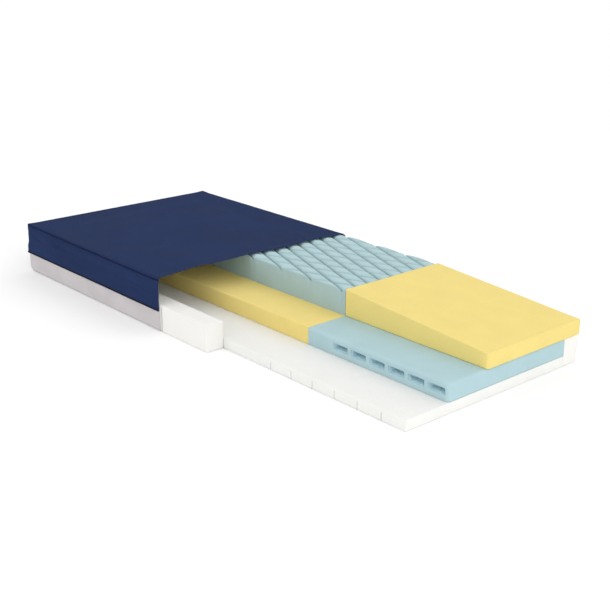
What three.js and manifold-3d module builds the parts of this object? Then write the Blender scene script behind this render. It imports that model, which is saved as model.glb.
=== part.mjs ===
// Pressure-care foam mattress as a display cutaway, in millimetres.
// +X runs from the head end to the foot end, +Y from the near side to the far side, +Z up.
// The zipped cover is on the head half only, and the foam layers are cut back in steps.
import * as THREE from 'three';
import { mergeVertices } from 'three/addons/utils/BufferGeometryUtils.js';
import Module from 'manifold-3d';

const wasm = await Module();
wasm.setup();

// ---- driving dimensions ----
const LENGTH = 2134;             // head face of the cover to the foot end of the foam
const WIDTH = 914;               // over the cover's side faces
const GAP = 0.3;                 // clearance between pieces that touch
const FLARE_SIDE = 3;            // how far the flap's hem stands out at the long sides
const FLARE_HEAD = 8;            // and at the head end, over the zip's slider

const FOOT_X = (LENGTH + FLARE_HEAD) / 2;
const HEAD_X = FOOT_X - LENGTH;
const HALF_W = WIDTH / 2;

// foam core: inset from the cover's outer faces, and its rounded edges
const CORE = {
  insetSide: 3.6, insetHead: 5, bottom: 2.6, top: 201,
  roundSide: 5, roundHead: 22, roundTop: 7,
};
const CORE_HALF = HALF_W - CORE.insetSide;
const BASE_TOP = 38;
const MID_TOP = 101.6;
const TOP_BOTTOM = MID_TOP + GAP;
const BOLSTER_INNER = 381;       // half width of the space between the bolsters
const ZONE_X = HEAD_X + 1494;    // torso foams end and heel foams begin here
const HEEL_END_TOP = 156;        // top of the sloping heel foam at the foot end
const MID_CUT_Y = -197;          // near faces of the cut-back middle and top layers
const TOP_CUT_Y = -24;
const CUT_BACK_X = HEAD_X + 500; // the cut-backs end here, hidden under the cover
const NEAR_BOLSTER_END = HEAD_X + 1255;

const SLIT = { first: HEAD_X + 1513, pitch: 103.7, count: 6, width: 2.5, depth: 27 };
const CHANNEL = {
  first: HEAD_X + 1622, pitch: 86, count: 6, width: 66, low: 57, high: 84, round: 3,
};
const GRID = { x: HEAD_X + 983, y: TOP_CUT_Y, pitchX: 165, pitchY: 60, width: 4, depth: 22 };

// cover
const FABRIC = 1.1;
const TOP_EDGE = 203.5;          // outer top surface along the edges
const CROWN = 4.5;               // how much higher the middle of the top panel is
const CROWN_RUN = 150;           // distance from the edge over which it rises
const EDGE_ROUND = 10;
const BORDER_TURN = 14;          // the borders lap this far over the top edge
const PLAN_ROUND = 24;           // radius of the cover's vertical corners
const FLARE_Z = [132, 104];      // the flap leaves the side face and stands clear
const HEM_Z = 82;
const COVER_CUT = HEAD_X + 970;  // where the navy borders are cut off
const TUB_CUT = HEAD_X + 980;
const SOCK_CUT = HEAD_X + 988;
const SOCK_TOP_CUT = HEAD_X + 945;
const SOCK_WALL = 0.8;
const TUB = {
  insetSide: 0.3, insetHead: 0.3, bottom: 0, top: 86,
  roundSide: 7.6, roundHead: 26, roundTop: 0,
};
const TUB_WALL = 1.2;
const WELT = { turn: 14, width: 4, height: 2.2 };
const BINDING = { height: 4.2, thick: 1.6 };

// zip, in distances out from the cover's side face
const ZIP_Z = 95;
const TAPE = { inner: -2.2, outer: -1.4, gap: 2.8, low: TUB.top + GAP, high: 126 };
const COIL = { inner: -1.1, outer: 1.1, gap: 2.2, width: 2.6 };
const COIL_LOW = ZIP_Z - COIL.gap / 2;
const COIL_HIGH = ZIP_Z + COIL.gap / 2;
const SLIDER = {
  y: -360, length: 13, width: 11.6, nose: 8.4, plate: 1,
  backInner: -3.6, frontInner: 1.4, postLength: 4, postWidth: 1.6,
};
const JOIN = 0.1;                // how far joined bodies of one piece run into each other
const PIVOT = { radius: 1.3, capRadius: 2.4, top: 5, cap: 0.9 };
const TAB = { eye: 1.7, round: 4.2, length: 26, neck: 5.4, inner: 2.75, thick: 0.9 };

// ---- materials ----
function finish(colour, roughness, metalness = 0) {
  return new THREE.MeshStandardMaterial({ color: colour, roughness, metalness });
}
const MATERIALS = {
  navy: finish(0x2e3c60, 0.55),
  seam: finish(0x19223c, 0.6),
  hem: finish(0x12151f, 0.6),
  taupe: finish(0xc1bdbe, 0.6),
  sock: finish(0xe9e8e4, 0.9),
  white: finish(0xf4f3f0, 0.95),
  yellow: finish(0xead586, 0.95),
  blue: finish(0xb4cdd6, 0.95),
  tape: finish(0x1b2030, 0.8),
  coil: finish(0x15181f, 0.4),
  metal: finish(0x9a9ca0, 0.35, 1),
};

// ---- solids ----
function geometryOf(positions, triangles) {
  const geometry = new THREE.BufferGeometry();
  geometry.setAttribute('position', new THREE.Float32BufferAttribute(positions, 3));
  geometry.setIndex(triangles);
  return geometry;
}

function toManifold(geometry) {
  const plain = geometry.clone();
  plain.deleteAttribute('normal');
  plain.deleteAttribute('uv');
  const merged = mergeVertices(plain, 1e-4);
  return new wasm.Manifold(new wasm.Mesh({
    numProp: 3,
    vertProperties: new Float32Array(merged.attributes.position.array),
    triVerts: new Uint32Array(merged.index.array),
  }));
}

function fromManifold(solid) {
  const mesh = solid.getMesh();
  return geometryOf(mesh.vertProperties, Array.from(mesh.triVerts));
}

function outline(points, holes = []) {
  const shape = new THREE.Shape(points.map(([a, b]) => new THREE.Vector2(a, b)));
  shape.holes = holes;
  return shape;
}

function roundedHole(x0, x1, y0, y1, r) {
  const path = new THREE.Path();
  path.moveTo(x0 + r, y0);
  path.lineTo(x1 - r, y0);
  path.absarc(x1 - r, y0 + r, r, -Math.PI / 2, 0);
  path.lineTo(x1, y1 - r);
  path.absarc(x1 - r, y1 - r, r, 0, Math.PI / 2);
  path.lineTo(x0 + r, y1);
  path.absarc(x0 + r, y1 - r, r, Math.PI / 2, Math.PI);
  path.lineTo(x0, y0 + r);
  path.absarc(x0 + r, y0 + r, r, Math.PI, Math.PI * 1.5);
  return path;
}

function extrude(shape, depth, curveSegments = 2) {
  return new THREE.ExtrudeGeometry(shape, { depth, bevelEnabled: false, curveSegments });
}

// side outline in (x, z), extruded from y0 to y1
function acrossY(shape, y0, y1) {
  return extrude(shape, y1 - y0).rotateX(Math.PI / 2).translate(0, y1, 0);
}

// plan outline in (x, y), extruded from z0 to z1
function upZ(shape, z0, z1) {
  return extrude(shape, z1 - z0).translate(0, 0, z0);
}

// outline in (y, z) on the head end, extruded outwards between two distances from the head face
function outFromHead(shape, inner, outer, curveSegments = 4) {
  const toWorld = new THREE.Matrix4().makeBasis(
    new THREE.Vector3(0, 1, 0), new THREE.Vector3(0, 0, 1), new THREE.Vector3(1, 0, 0));
  return extrude(shape, outer - inner, curveSegments)
    .applyMatrix4(toWorld).translate(HEAD_X - outer, 0, 0);
}

function block(x0, x1, y0, y1, z0, z1) {
  return new THREE.BoxGeometry(x1 - x0, y1 - y0, z1 - z0)
    .translate((x0 + x1) / 2, (y0 + y1) / 2, (z0 + z1) / 2);
}

// ---- the run round the cover: near side, head end, far side ----
// Each station holds a point on the side face, the way out, and 0 at the sides to 1 at the head.
function runStations(endX, from = 'near', to = 'far') {
  const steps = 5;
  const stations = [];
  const cornerX = HEAD_X + PLAN_ROUND;
  const cornerY = HALF_W - PLAN_ROUND;
  const corner = (side) => {
    for (let i = 0; i <= steps; i++) {
      const turn = (side < 0 ? i : steps - i) / steps;
      const angle = turn * Math.PI / 2;
      const out = [-Math.sin(angle), side * Math.cos(angle)];
      stations.push({
        x: cornerX + PLAN_ROUND * out[0], y: side * cornerY + PLAN_ROUND * out[1], out, head: turn,
      });
    }
  };
  if (from === 'near') stations.push({ x: endX, y: -HALF_W, out: [0, -1], head: 0 });
  if (to === 'near') {
    stations.push({ x: cornerX + GAP, y: -HALF_W, out: [0, -1], head: 0 });
    return stations;
  }
  if (from !== 'far') {
    corner(-1);
    corner(1);
  }
  if (to === 'head') return stations;
  if (from === 'far') stations.push({ x: cornerX + GAP, y: HALF_W, out: [0, 1], head: 0 });
  stations.push({ x: endX, y: HALF_W, out: [0, 1], head: 0 });
  return stations;
}

// walls between equal closed rings of points that follow one another
function ringSides(rings, size) {
  const triangles = [];
  for (let i = 0; i + 1 < rings; i++) {
    for (let j = 0; j < size; j++) {
      const k = (j + 1) % size;
      const [a, b, c, d] = [i * size + j, i * size + k, (i + 1) * size + k, (i + 1) * size + j];
      triangles.push(a, b, c, a, c, d);
    }
  }
  return triangles;
}

function capOf(points) {
  return THREE.ShapeUtils.triangulateShape(points.map(([a, b]) => new THREE.Vector2(a, b)), []);
}

// closed profile of [distance out, height] points, counter-clockwise, swept along the stations
function sweep(stations, profileAt) {
  const placed = (s) => profileAt(s).map(([d, z]) => [s.x + d * s.out[0], s.y + d * s.out[1], z]);
  const rows = stations.map(placed);
  const size = rows[0].length;
  const triangles = ringSides(rows.length, size);
  const last = (rows.length - 1) * size;
  for (const [a, b, c] of capOf(profileAt(stations[0]))) triangles.push(a, c, b);
  for (const [a, b, c] of capOf(profileAt(stations.at(-1)))) {
    triangles.push(last + a, last + b, last + c);
  }
  return geometryOf(rows.flat(2), triangles);
}

function bandProfile(inner, outer, low, high) {
  return [[inner, low], [outer, low], [outer, high], [inner, high]];
}

// ---- rounded envelopes of the core, the sock and the tub ----
function grown(form, by) {
  return {
    insetSide: form.insetSide - by, insetHead: form.insetHead - by,
    bottom: form.bottom - by, top: form.top + by,
    roundSide: form.roundSide + by, roundHead: form.roundHead + by,
    roundTop: form.roundTop > 0 ? form.roundTop + by : 0,
  };
}

function envelope(form, endX, top = form.top) {
  const arcInset = (radius, rise) => {
    if (rise >= radius) return 0;
    return radius - Math.sqrt(radius ** 2 - (radius - rise) ** 2);
  };
  const heights = [];
  const addArc = (start, radius, up, turns) => {
    for (const turn of turns) heights.push(start + up * radius * (1 - Math.cos(turn * Math.PI / 2)));
  };
  addArc(form.bottom, form.roundSide, 1, [0, 0.2, 0.4, 0.6, 0.8, 1]);
  addArc(form.bottom, form.roundHead, 1, [0.54, 0.63, 0.72, 0.81, 0.9, 1]);
  if (form.roundTop > 0) addArc(top, form.roundTop, -1, [1, 0.66, 0.33, 0]);
  else heights.push(top);
  heights.sort((a, b) => a - b);
  const base = runStations(endX).reverse();
  const layers = heights.map((z) => {
    const over = form.roundTop > 0 ? arcInset(form.roundTop, top - z) : 0;
    const side = form.insetSide + arcInset(form.roundSide, z - form.bottom) + over;
    const head = form.insetHead + arcInset(form.roundHead, z - form.bottom) + over;
    return base.map((s) => {
      const d = THREE.MathUtils.lerp(side, head, s.head);
      return [s.x - d * s.out[0], s.y - d * s.out[1], z];
    });
  });
  const size = base.length;
  const triangles = ringSides(layers.length, size);
  const last = (layers.length - 1) * size;
  for (const [a, b, c] of capOf(layers[0])) {
    triangles.push(a, c, b, last + a, last + b, last + c);
  }
  return toManifold(geometryOf(layers.flat(2), triangles));
}

// ---- foam core ----
const uncoveredCore = toManifold(block(SOCK_CUT + GAP, FOOT_X, -CORE_HALF, CORE_HALF, 0, CORE.top));
const core = envelope(CORE, SOCK_CUT + GAP * 2).add(uncoveredCore);

function foam(geometry) {
  return toManifold(geometry).intersect(core);
}

function baseFoam() {
  const points = [[HEAD_X, 0]];
  for (let i = 0; i < SLIT.count; i++) {
    const x = SLIT.first + i * SLIT.pitch;
    const half = SLIT.width / 2;
    points.push([x - half, 0], [x - half, SLIT.depth], [x + half, SLIT.depth], [x + half, 0]);
  }
  points.push([FOOT_X, 0], [FOOT_X, BASE_TOP], [HEAD_X, BASE_TOP]);
  return foam(acrossY(outline(points), -BOLSTER_INNER + GAP, BOLSTER_INNER - GAP));
}

function bolster(side, endX) {
  const [y0, y1] = side < 0 ? [-HALF_W, -BOLSTER_INNER] : [BOLSTER_INNER, HALF_W];
  return foam(block(HEAD_X, endX, y0, y1, 0, MID_TOP));
}

// plan of a torso foam: full width at the head, cut back to cutY beyond the hidden step
function steppedPlan(nearY, cutY, farY) {
  return outline([
    [HEAD_X, nearY], [CUT_BACK_X, nearY], [CUT_BACK_X, cutY],
    [ZONE_X, cutY], [ZONE_X, farY], [HEAD_X, farY],
  ]);
}

function midTorsoFoam() {
  const plan = steppedPlan(-BOLSTER_INNER + GAP, MID_CUT_Y, BOLSTER_INNER - GAP);
  return foam(upZ(plan, BASE_TOP + GAP, MID_TOP));
}

function midHeelFoam() {
  const channels = [];
  for (let i = 0; i < CHANNEL.count; i++) {
    const x = CHANNEL.first + i * CHANNEL.pitch;
    channels.push(roundedHole(x, x + CHANNEL.width, CHANNEL.low, CHANNEL.high, CHANNEL.round));
  }
  const [x0, z0] = [ZONE_X + GAP, BASE_TOP + GAP];
  const side = outline([[x0, z0], [FOOT_X, z0], [FOOT_X, MID_TOP], [x0, MID_TOP]], channels);
  return foam(acrossY(side, MID_CUT_Y, BOLSTER_INNER - GAP));
}

// two sets of straight grooves that cross at the grid's nodes and leave a field of diamonds
function diamondGrooves() {
  const slope = Math.atan2(GRID.pitchY, GRID.pitchX);
  const lines = Math.ceil((WIDTH + LENGTH * Math.tan(slope)) / GRID.pitchY);
  const grooves = [];
  for (const turn of [-slope, slope]) {
    for (let i = -lines; i <= lines; i++) {
      const groove = new THREE.BoxGeometry(LENGTH * 2, GRID.width, GRID.depth * 2);
      groove.rotateZ(turn).translate(GRID.x, GRID.y + i * GRID.pitchY, CORE.top);
      grooves.push(toManifold(groove));
    }
  }
  return grooves;
}

function topTorsoFoam() {
  const slab = foam(upZ(steppedPlan(-HALF_W, TOP_CUT_Y, HALF_W), TOP_BOTTOM, CORE.top));
  const grid = diamondGrooves().reduce((joined, groove) => joined.add(groove));
  return slab.subtract(grid);
}

function topHeelFoam() {
  const x0 = ZONE_X + GAP;
  const side = outline([
    [x0, TOP_BOTTOM], [FOOT_X, TOP_BOTTOM], [FOOT_X, HEEL_END_TOP], [x0, CORE.top]]);
  return foam(acrossY(side, TOP_CUT_Y, HALF_W));
}

// ---- inner sleeve and cover ----
function barrierSock() {
  const inner = envelope(grown(CORE, GAP), FOOT_X);
  const outer = envelope(grown(CORE, GAP + SOCK_WALL), SOCK_CUT);
  const cutTop = block(SOCK_TOP_CUT, FOOT_X, -HALF_W, HALF_W, CORE.top - CORE.roundTop, WIDTH);
  return outer.subtract(inner).subtract(toManifold(cutTop));
}

function coverTub() {
  const inner = envelope(grown(TUB, -TUB_WALL), FOOT_X, TUB.top * 2);
  return envelope(TUB, TUB_CUT).subtract(inner);
}

function flareAt(station) {
  return THREE.MathUtils.lerp(FLARE_SIDE, FLARE_HEAD, station.head);
}

function borderProfile(station) {
  const flare = flareAt(station);
  const rounded = (radius) => {
    const arc = [];
    for (let i = 0; i <= 4; i++) {
      const angle = i / 4 * Math.PI / 2;
      arc.push([
        -EDGE_ROUND + radius * Math.cos(angle), TOP_EDGE - EDGE_ROUND + radius * Math.sin(angle)]);
    }
    return arc;
  };
  const hang = [[flare, HEM_Z], [flare, FLARE_Z[1]], [0, FLARE_Z[0]]];
  const outside = [...hang, ...rounded(EDGE_ROUND), [-BORDER_TURN, TOP_EDGE]];
  const inside = [
    ...hang.map(([d, z]) => [d - FABRIC, z]),
    ...rounded(EDGE_ROUND - FABRIC), [-BORDER_TURN, TOP_EDGE - FABRIC]];
  return [...outside, ...inside.reverse()];
}

function border(from, to) {
  return sweep(runStations(COVER_CUT, from, to), borderProfile);
}

function hemBinding() {
  const high = HEM_Z - GAP;
  const low = high - BINDING.height;
  const profile = (s) => bandProfile(flareAt(s) - BINDING.thick, flareAt(s), low, high);
  return sweep(runStations(COVER_CUT), profile);
}

function topWelt() {
  const z = TOP_EDGE + GAP;
  const half = WELT.width / 2;
  const profile = () => [
    [-WELT.turn - half, z], [-WELT.turn + half, z], [-WELT.turn + half * 0.6, z + WELT.height],
    [-WELT.turn - half * 0.6, z + WELT.height]];
  return sweep(runStations(COVER_CUT), profile);
}

// gentle wave of the cut edge across the top
function topCutX(y) {
  const across = (y + HALF_W) / WIDTH;
  return HEAD_X + 965 + 12 * Math.cos(2 * Math.PI * (across - 0.02) / 0.95)
    + 8 * Math.sin(2 * Math.PI * across / 0.29);
}

function smooth(t) {
  const s = THREE.MathUtils.clamp(t, 0, 1);
  return s * s * (3 - 2 * s);
}

function topPanel() {
  const edge = BORDER_TURN + GAP;
  const half = HALF_W - edge;
  const round = PLAN_ROUND - edge;
  const across = [];
  for (const turn of [0, 0.35, 0.7, 1]) across.push(half - round + round * Math.cos(turn * Math.PI / 2));
  for (const y of [390, 330, 270, 200, 135, 65]) across.push(y);
  const rowsY = [...across.map((y) => -y), 0, ...across.reverse()];
  const along = [0, 0.04, 0.08, 0.12, 0.16, 0.4, 0.7, 1];
  const place = (t, y) => {
    const over = Math.max(0, Math.abs(y) - (half - round));
    const startX = HEAD_X + edge + round - Math.sqrt(Math.max(0, round ** 2 - over ** 2));
    const x = THREE.MathUtils.lerp(startX, topCutX(y), t);
    const rise = smooth((half - Math.abs(y)) / CROWN_RUN) * smooth((x - HEAD_X - edge) / CROWN_RUN);
    return [x, y, TOP_EDGE + CROWN * rise];
  };
  const top = along.map((t) => rowsY.map((y) => place(t, y))).flat();
  const under = top.map(([x, y, z]) => [x, y, z - FABRIC]);
  const [wide, count] = [rowsY.length, top.length];
  const triangles = [];
  for (let i = 0; i + 1 < along.length; i++) {
    for (let j = 0; j + 1 < wide; j++) {
      const [a, b, c, d] = [i * wide + j, (i + 1) * wide + j, (i + 1) * wide + j + 1, i * wide + j + 1];
      triangles.push(a, b, c, a, c, d);
      triangles.push(count + a, count + c, count + b, count + a, count + d, count + c);
    }
  }
  const lastRow = (along.length - 1) * wide;
  const rim = [];
  for (let i = 0; i + 1 < along.length; i++) rim.push(i * wide);
  for (let j = 0; j + 1 < wide; j++) rim.push(lastRow + j);
  for (let i = along.length - 1; i > 0; i--) rim.push(i * wide + wide - 1);
  for (let j = wide - 1; j > 0; j--) rim.push(j);
  rim.forEach((a, i) => {
    const b = rim[(i + 1) % rim.length];
    triangles.push(count + a, count + b, b, count + a, b, a);
  });
  return geometryOf([...top, ...under].flat(), triangles);
}

// ---- zip ----
function zipBand(part, low, high) {
  return sweep(runStations(COVER_CUT), () => bandProfile(part.inner, part.outer, low, high));
}

function zipSlider() {
  const [l, w, n] = [SLIDER.length / 2, SLIDER.width / 2, SLIDER.nose / 2];
  const plateShape = () => outline([
    [SLIDER.y - l, ZIP_Z - n], [SLIDER.y + l * 0.3, ZIP_Z - w], [SLIDER.y + l, ZIP_Z - w],
    [SLIDER.y + l, ZIP_Z + w], [SLIDER.y + l * 0.3, ZIP_Z + w], [SLIDER.y - l, ZIP_Z + n]]);
  const front = SLIDER.frontInner;
  const stem = (inner, outer, radius) => outFromHead(
    new THREE.Shape().absarc(SLIDER.y, ZIP_Z, radius, 0, Math.PI * 2), inner, outer, 16);
  const flange = (side) => {
    const [z0, z1] = side < 0 ? [ZIP_Z - w, ZIP_Z - w + 1] : [ZIP_Z + w - 1, ZIP_Z + w];
    return block(HEAD_X - front - JOIN, HEAD_X + 0.9, SLIDER.y + l * 0.3, SLIDER.y + l, z0, z1);
  };
  const postX = [HEAD_X - front - JOIN, HEAD_X - SLIDER.backInner - SLIDER.plate + JOIN];
  const parts = [
    outFromHead(plateShape(), SLIDER.backInner, SLIDER.backInner + SLIDER.plate),
    outFromHead(plateShape(), front, front + SLIDER.plate),
    block(...postX, SLIDER.y + l - SLIDER.postLength, SLIDER.y + l,
      ZIP_Z - SLIDER.postWidth / 2, ZIP_Z + SLIDER.postWidth / 2),
    flange(-1), flange(1),
    stem(front + SLIDER.plate - JOIN, PIVOT.top, PIVOT.radius),
    stem(PIVOT.top - PIVOT.cap, PIVOT.top, PIVOT.capRadius),
  ];
  return parts.map(toManifold).reduce((solid, part) => solid.add(part));
}

// flat tab with a round eye on the slider's pivot, hanging down below the flap's hem
function zipPullTab() {
  const shape = new THREE.Shape();
  const tip = ZIP_Z - TAB.length;
  shape.absarc(SLIDER.y, ZIP_Z, TAB.round, -Math.PI / 3, Math.PI * 4 / 3);
  shape.lineTo(SLIDER.y - TAB.neck / 2, ZIP_Z - TAB.round * 2);
  shape.absarc(SLIDER.y, tip, TAB.round * 0.9, Math.PI, Math.PI * 2);
  shape.lineTo(SLIDER.y + TAB.neck / 2, ZIP_Z - TAB.round * 2);
  shape.holes = [new THREE.Path().absarc(SLIDER.y, ZIP_Z, TAB.eye, 0, Math.PI * 2)];
  return outFromHead(shape, TAB.inner, TAB.inner + TAB.thick, 14);
}

// ---- assembly ----
const mattress = new THREE.Group();

function add(name, solid, material) {
  const geometry = solid.isBufferGeometry ? solid : fromManifold(solid);
  const mesh = new THREE.Mesh(geometry, material);
  mesh.name = name;
  mattress.add(mesh);
}

add('base_foam', baseFoam(), MATERIALS.white);
add('bolster_near', bolster(-1, NEAR_BOLSTER_END), MATERIALS.white);
add('bolster_far', bolster(1, FOOT_X), MATERIALS.white);
add('mid_torso_foam', midTorsoFoam(), MATERIALS.yellow);
add('mid_heel_foam', midHeelFoam(), MATERIALS.blue);
add('top_torso_foam', topTorsoFoam(), MATERIALS.blue);
add('top_heel_foam', topHeelFoam(), MATERIALS.yellow);
add('barrier_sock', barrierSock(), MATERIALS.sock);
add('cover_base_tub', coverTub(), MATERIALS.taupe);
add('cover_top_panel', topPanel(), MATERIALS.navy);
add('cover_border_near', border('near', 'near'), MATERIALS.navy);
add('cover_border_head', border('head', 'head'), MATERIALS.navy);
add('cover_border_far', border('far', 'far'), MATERIALS.navy);
add('top_seam_welt', topWelt(), MATERIALS.seam);
add('hem_binding', hemBinding(), MATERIALS.hem);
add('zip_tape_lower', zipBand(TAPE, TAPE.low, ZIP_Z - TAPE.gap / 2), MATERIALS.tape);
add('zip_tape_upper', zipBand(TAPE, ZIP_Z + TAPE.gap / 2, TAPE.high), MATERIALS.tape);
add('zip_coil_lower', zipBand(COIL, COIL_LOW - COIL.width, COIL_LOW), MATERIALS.coil);
add('zip_coil_upper', zipBand(COIL, COIL_HIGH, COIL_HIGH + COIL.width), MATERIALS.coil);
add('zip_slider', zipSlider(), MATERIALS.metal);
add('zip_pull_tab', zipPullTab(), MATERIALS.metal);

export default mattress;
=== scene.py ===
"""A pressure-care foam mattress shown as a cutaway, with its zipped cover on the head half.

The frame is in metres: +X from the head end to the foot end, +Y from the near side to the far
side, +Z up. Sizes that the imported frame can't give are named constants.
"""

import math

import bmesh
import bpy
import numpy as np
from mathutils import Matrix, Vector, noise


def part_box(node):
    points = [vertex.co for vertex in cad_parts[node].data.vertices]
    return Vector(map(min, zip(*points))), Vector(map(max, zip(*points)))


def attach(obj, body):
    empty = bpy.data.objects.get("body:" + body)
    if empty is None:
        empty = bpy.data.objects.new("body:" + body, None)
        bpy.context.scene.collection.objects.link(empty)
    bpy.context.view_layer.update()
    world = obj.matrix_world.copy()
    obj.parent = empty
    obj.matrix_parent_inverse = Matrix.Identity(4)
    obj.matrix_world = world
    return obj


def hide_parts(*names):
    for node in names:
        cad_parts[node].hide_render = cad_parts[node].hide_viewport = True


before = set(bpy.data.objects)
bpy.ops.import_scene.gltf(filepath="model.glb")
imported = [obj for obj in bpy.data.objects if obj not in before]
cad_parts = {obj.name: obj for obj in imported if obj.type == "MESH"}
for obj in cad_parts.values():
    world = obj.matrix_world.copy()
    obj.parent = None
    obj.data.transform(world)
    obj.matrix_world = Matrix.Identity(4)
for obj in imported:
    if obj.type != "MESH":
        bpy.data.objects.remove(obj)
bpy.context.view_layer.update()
MM = 0.001


# ---- places and sizes, from the frame ----
def lo(node):
    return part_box(node)[0]


def hi(node):
    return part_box(node)[1]


FLARE_SIDE = 3 * MM                # the flap's hem stands this far off the side faces
FLARE_HEAD = 8 * MM                # and this far off the head end, over the zip's slider
HEAD = lo("cover_border_head").x + FLARE_HEAD
HALF_W = hi("cover_border_far").y - FLARE_SIDE
HEM = lo("cover_border_near").z
BORDER_CUT = hi("cover_border_near").x + 4 * MM
TUB_CUT = hi("cover_base_tub").x - 4 * MM
SOCK_CUT = hi("barrier_sock").x - 3 * MM
TOP_EDGE = lo("top_seam_welt").z   # top surface of the cover along its edges
CROWN = hi("cover_top_panel").z - TOP_EDGE
EDGE_ROUND = 10 * MM               # the cover's top edge
PLAN_ROUND = 5 * MM                # and its vertical corners
FLARE_Z = (132 * MM, 104 * MM)     # between these heights the flap leaves the side face
CROWN_START = 24 * MM              # the top panel starts to rise this far in from the side faces
CROWN_RUN = 150 * MM               # and is at its full height this much further in
FABRIC = 1.1 * MM


def smooth(t):
    t = min(1.0, max(0.0, t))
    return t * t * (3 - 2 * t)


def near_end(value, end, run):
    """0 up to a run before the end, then smoothly to 1 at the end."""
    return smooth((value - end + run) / run)


def lerp(a, b, t):
    return a + (b - a) * t


def quarter(steps):
    """The angles of a quarter turn in equal steps, with both ends."""
    return [k / steps * math.pi / 2 for k in range(steps + 1)]


def wander(point, wave, seed):
    """Smooth noise from about -1 to 1 that varies over the distance wave."""
    p = Vector(point) / wave
    return noise.noise(Vector((p.x + 17.3 * seed, p.y - 9.1 * seed, p.z + 4.7 * seed))) * 1.6


# ---- materials ----
class Nodes:
    """A short way to write a material's node tree."""

    def __init__(self, name):
        self.material = bpy.data.materials.new(name)
        self.material.use_nodes = True
        self.tree = self.material.node_tree
        self.tree.nodes.clear()
        output = self.add("ShaderNodeOutputMaterial")
        self.shader = self.add("ShaderNodeBsdfPrincipled")
        self.tree.links.new(self.shader.outputs[0], output.inputs[0])
        self.place = self.add("ShaderNodeTexCoord").outputs["Object"]

    def add(self, kind, **settings):
        node = self.tree.nodes.new(kind)
        for key, value in settings.items():
            setattr(node, key, value)
        return node

    def feed(self, socket, value):
        if isinstance(value, bpy.types.NodeSocket):
            self.tree.links.new(value, socket)
        else:
            socket.default_value = value

    def feed_order(self, node, *values):
        """Feeds a node's inputs in their order."""
        for socket, value in zip(node.inputs, values):
            self.feed(socket, value)
        return node.outputs

    def feed_names(self, node, **values):
        """Feeds a node's inputs by their names."""
        for key, value in values.items():
            self.feed(node.inputs[key.replace("_", " ")], value)
        return node.outputs

    def set(self, **values):
        self.feed_names(self.shader, **values)

    def math(self, operation, *values):
        return self.feed_order(self.add("ShaderNodeMath", operation=operation), *values)[0]

    def vector(self, operation, *values, output=0):
        return self.feed_order(self.add("ShaderNodeVectorMath", operation=operation), *values)[output]

    def scale(self, value, factor):
        """A colour or a vector times a number."""
        scaled = self.vector("SCALE", value)
        self.feed(scaled.node.inputs["Scale"], factor)
        return scaled

    def noise(self, wave, detail=3.0, roughness=0.5, stretch=(1, 1, 1)):
        scaled = self.vector("MULTIPLY", self.place, tuple(s / wave for s in stretch))
        node = self.add("ShaderNodeTexNoise")
        return self.feed_names(node, Vector=scaled, Scale=1.0, Detail=detail, Roughness=roughness)["Fac"]

    def cells(self, wave):
        node = self.add("ShaderNodeTexVoronoi", feature="F1")
        return self.feed_names(node, Vector=self.place, Scale=1.0 / wave)["Distance"]

    def weave(self, thread):
        """Threads that cross: the sum of sines along the three axes, two of which lie in any face."""
        wave = self.vector("SINE", self.scale(self.place, 2 * math.pi / thread))
        return self.vector("DOT_PRODUCT", wave, (1.0, 1.0, 1.0), output="Value")

    def remap(self, value, low, high, to_low, to_high):
        return self.feed_order(self.add("ShaderNodeMapRange"), value, low, high, to_low, to_high)[0]

    def patchy(self, pattern, low, high, colour, spread):
        """The colour, made darker where the pattern is low and lighter where it is high."""
        node = self.add("ShaderNodeMix", data_type="RGBA")
        mixed = self.feed_names(
            node, Factor=self.remap(pattern, low, high, 0.0, 1.0),
            A=(*shade(colour, 1 - spread[0]), 1.0), B=(*shade(colour, 1 + spread[1]), 1.0))
        return mixed["Result"]

    def bump(self, height, distance, **normal):
        return self.feed_names(self.add("ShaderNodeBump"), Height=height, Distance=distance, **normal)[0]


def linear(*srgb):
    """0 to 255 sRGB as the linear colour that nodes take."""
    return tuple(
        (c / 255 / 12.92) if c <= 10 else ((c / 255 + 0.055) / 1.055) ** 2.4 for c in srgb)


def shade(colour, factor):
    return tuple(min(1.0, c * factor) for c in colour)


def foam_material(name, colour, pore, spread, top=None):
    """Open-cell foam: fine pores of unlike sizes, a cut surface that is a little uneven, soft sheen.

    Given its top's height, it is a little lighter on the top and darker below it: painted light on the cell
    tops, and painted shade in the grooves and down the cut sides."""
    n = Nodes(name)
    patches = n.noise(90 * MM, 2.0)
    grain = n.noise(2.6 * pore, 4.0, 0.65)
    holes = n.cells(pore)
    pits = n.remap(holes, 0.05, 0.45, 0.86, 1.0)
    tone = n.math("MULTIPLY", pits, n.remap(grain, 0.3, 0.7, 0.96, 1.02))
    if top is not None:
        split = n.add("ShaderNodeSeparateXYZ")
        n.feed(split.inputs[0], n.place)
        # painted shade: 0.89 of the colour from 8 mm below the top, rising to 1.035 (painted light) near the
        # top
        painted_shade_by_height = n.remap(split.outputs["Z"], top - 8 * MM, top - 1.5 * MM, 0.89, 1.035)
        tone = n.math("MULTIPLY", tone, painted_shade_by_height)
    n.set(Base_Color=n.scale(n.patchy(patches, 0.3, 0.7, colour, (spread, spread)), tone))
    n.set(Roughness=n.remap(grain, 0.3, 0.7, 0.86, 0.98))
    relief = n.math("ADD", n.math("MULTIPLY", holes, 0.6), grain)
    fine = n.bump(relief, 0.35 * pore)
    n.set(Normal=n.bump(n.noise(14 * MM, 3.0), 0.25 * MM, Normal=fine))
    n.set(Specular_IOR_Level=0.06, Sheen_Weight=0.03, Sheen_Roughness=0.6)
    return n.material


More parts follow.
